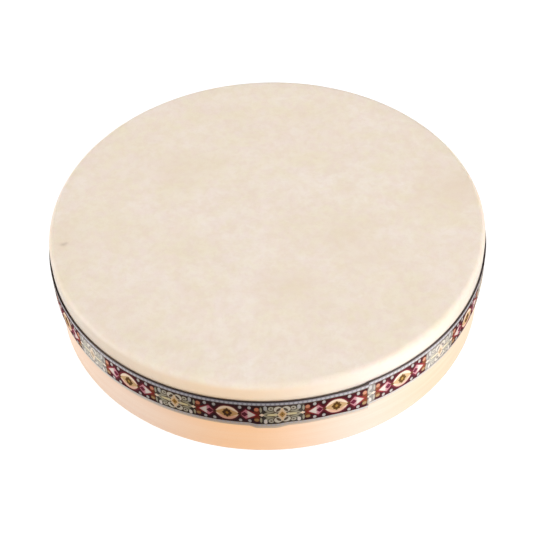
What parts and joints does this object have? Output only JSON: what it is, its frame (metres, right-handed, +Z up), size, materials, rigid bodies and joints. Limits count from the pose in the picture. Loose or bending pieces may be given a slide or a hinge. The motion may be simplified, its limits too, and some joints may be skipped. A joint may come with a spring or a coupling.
{
  "type": "hand drum",
  "caption": "Shallow round frame drum: bent wooden hoop, natural skin head tacked to its side, and a woven ribbon round the edge.",
  "frame": {"origin": "centre of the open rim of the hoop, in the plane that the drum stands on", "axes": "+Z up along the drum's axis towards the skin; -Y is the side that the picture sees, +X to its right"},
  "size_m": [0.258, 0.258, 0.0572],
  "materials": {
    "pale_beech": "sanded, thin clear satin lacquer",
    "core_beech": "sanded edge",
    "goatskin": "dry, matt to satin",
    "jacquard": "woven",
    "blued_steel": "blued"
  },
  "bodies": {
    "root": {"hoop_outer_ply": "pale_beech", "hoop_core_ply": "core_beech", "hoop_inner_ply": "pale_beech", "goatskin_head": "goatskin", "skin_tack_01": "blued_steel", "skin_tack_02": "blued_steel", "skin_tack_03": "blued_steel", "skin_tack_04": "blued_steel", "skin_tack_05": "blued_steel", "skin_tack_06": "blued_steel", "skin_tack_07": "blued_steel", "skin_tack_08": "blued_steel", "skin_tack_09": "blued_steel", "skin_tack_10": "blued_steel", "skin_tack_11": "blued_steel", "skin_tack_12": "blued_steel", "skin_tack_13": "blued_steel", "skin_tack_14": "blued_steel", "skin_tack_15": "blued_steel", "skin_tack_16": "blued_steel", "skin_tack_17": "blued_steel", "skin_tack_18": "blued_steel", "skin_tack_19": "blued_steel", "skin_tack_20": "blued_steel", "skin_tack_21": "blued_steel", "skin_tack_22": "blued_steel", "skin_tack_23": "blued_steel", "skin_tack_24": "blued_steel", "skin_tack_25": "blued_steel", "skin_tack_26": "blued_steel", "skin_tack_27": "blued_steel", "skin_tack_28": "blued_steel", "woven_ribbon": "jacquard"}
  },
  "joints": []
}
